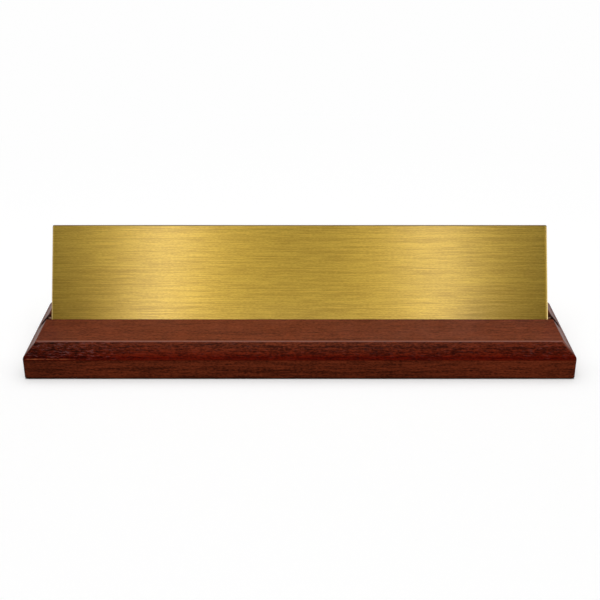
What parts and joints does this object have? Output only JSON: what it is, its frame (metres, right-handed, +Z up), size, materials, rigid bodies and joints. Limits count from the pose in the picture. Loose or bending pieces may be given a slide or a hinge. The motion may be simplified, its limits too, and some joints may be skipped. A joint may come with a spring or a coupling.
{
  "type": "desk name plate",
  "caption": "Desk name plate: a bare brushed brass plate that lifts out of the slanting groove in a bevelled wooden base, leaning back on it, with felt pads underneath.",
  "frame": {"origin": "on the table, under the middle of the base", "axes": "+X along the base, to the right seen from the front; +Y towards the rear, the way the plate leans; +Z up"},
  "size_m": [0.2706, 0.0636, 0.06],
  "materials": {
    "hardwood": "reddish brown stain under satin lacquer",
    "brass_plate": "brushed lengthways, clear lacquered",
    "felt": "pressed wool felt, die cut"
  },
  "bodies": {
    "base": {"base_block": "hardwood", "foot_front_left": "felt", "foot_front_right": "felt", "foot_rear_left": "felt", "foot_rear_right": "felt"},
    "plate": {"name_plate": "brass_plate"}
  },
  "joints": [
    {"name": "plate_lift", "type": "slide", "parent": "base", "child": "plate", "axis": [0, 0.4695, 0.8829], "range_m": [0, 0.02]}
  ]
}
